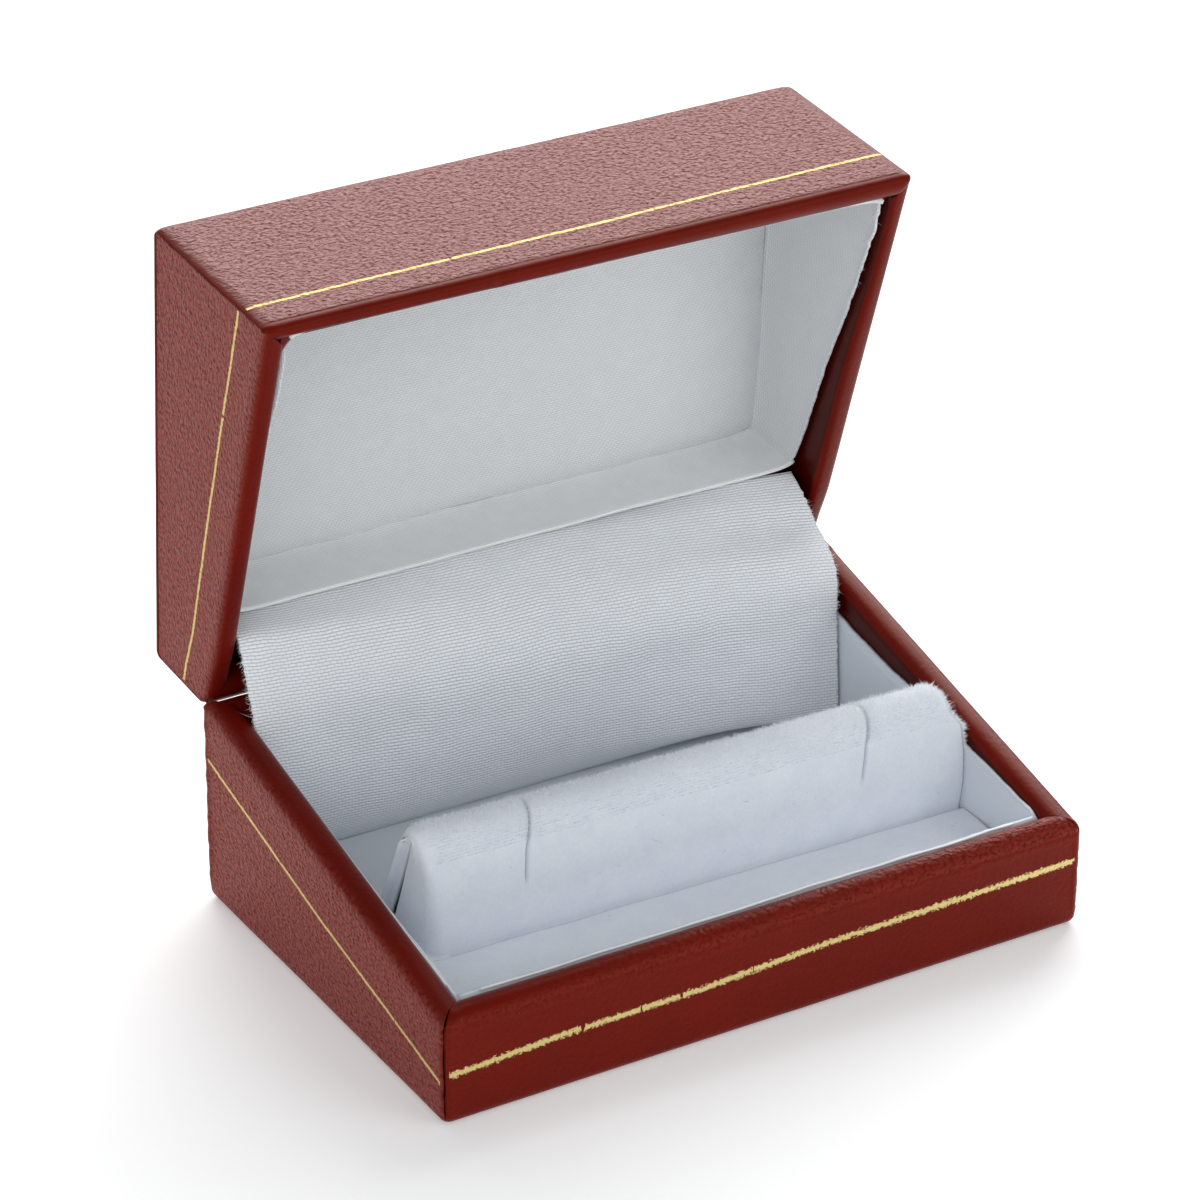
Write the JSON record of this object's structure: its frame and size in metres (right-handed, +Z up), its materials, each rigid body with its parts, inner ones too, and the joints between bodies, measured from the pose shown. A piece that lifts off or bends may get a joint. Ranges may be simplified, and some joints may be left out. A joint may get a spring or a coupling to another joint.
{
  "type": "hinged jewellery box",
  "caption": "Small leatherette jewellery box with a wedge-fronted base, deep hinged lid, white lining and a slit velvet ridge insert.",
  "frame": {"origin": "centre of the base's underside, on the face that the box stands on", "axes": "+Z up, +X to the box's right, +Y to the back where the hinge is"},
  "size_m": [0.08, 0.0656, 0.0784],
  "materials": {
    "leatherette": "fine grained deep red leatherette, satin gloss",
    "shell_plastic": "plain moulded",
    "packing_board": "rough grey board",
    "lining_card": "smooth coated white card",
    "velvet": "short white flocked pile",
    "foam": "soft white foam sheet",
    "satin": "white woven satin",
    "hinge_steel": "nickel-plated spring steel"
  },
  "bodies": {
    "base": {"base_shell": "shell_plastic", "base_front_wrap": "leatherette", "base_back_wrap": "leatherette", "base_left_wrap": "leatherette", "base_right_wrap": "leatherette", "base_bottom_cover": "leatherette", "floor_riser_board": "packing_board", "floor_card": "lining_card", "base_front_card": "lining_card", "base_left_card": "lining_card", "base_right_card": "lining_card", "insert_board": "packing_board", "insert_velvet": "velvet", "hinge_base_leaf": "hinge_steel", "hinge_pin": "hinge_steel", "snap_spring": "hinge_steel", "base_rivet_left": "hinge_steel", "base_rivet_right": "hinge_steel", "satin_flap": "satin"},
    "lid": {"lid_shell": "shell_plastic", "lid_top_wrap": "leatherette", "lid_left_wrap": "leatherette", "lid_right_wrap": "leatherette", "lid_foam_pad": "foam", "lid_satin_panel": "satin", "lid_front_lining": "satin", "lid_back_lining": "satin", "lid_left_lining": "satin", "lid_right_lining": "satin", "hinge_lid_leaf": "hinge_steel", "lid_rivet_left": "hinge_steel", "lid_rivet_right": "hinge_steel"}
  },
  "joints": [
    {"name": "lid_hinge", "type": "hinge", "parent": "base", "child": "lid", "pos_m": [0, 0.02537, 0.02548], "axis": [1, 0, 0], "range_deg": [0, 86], "deforming": ["satin_flap"]}
  ]
}
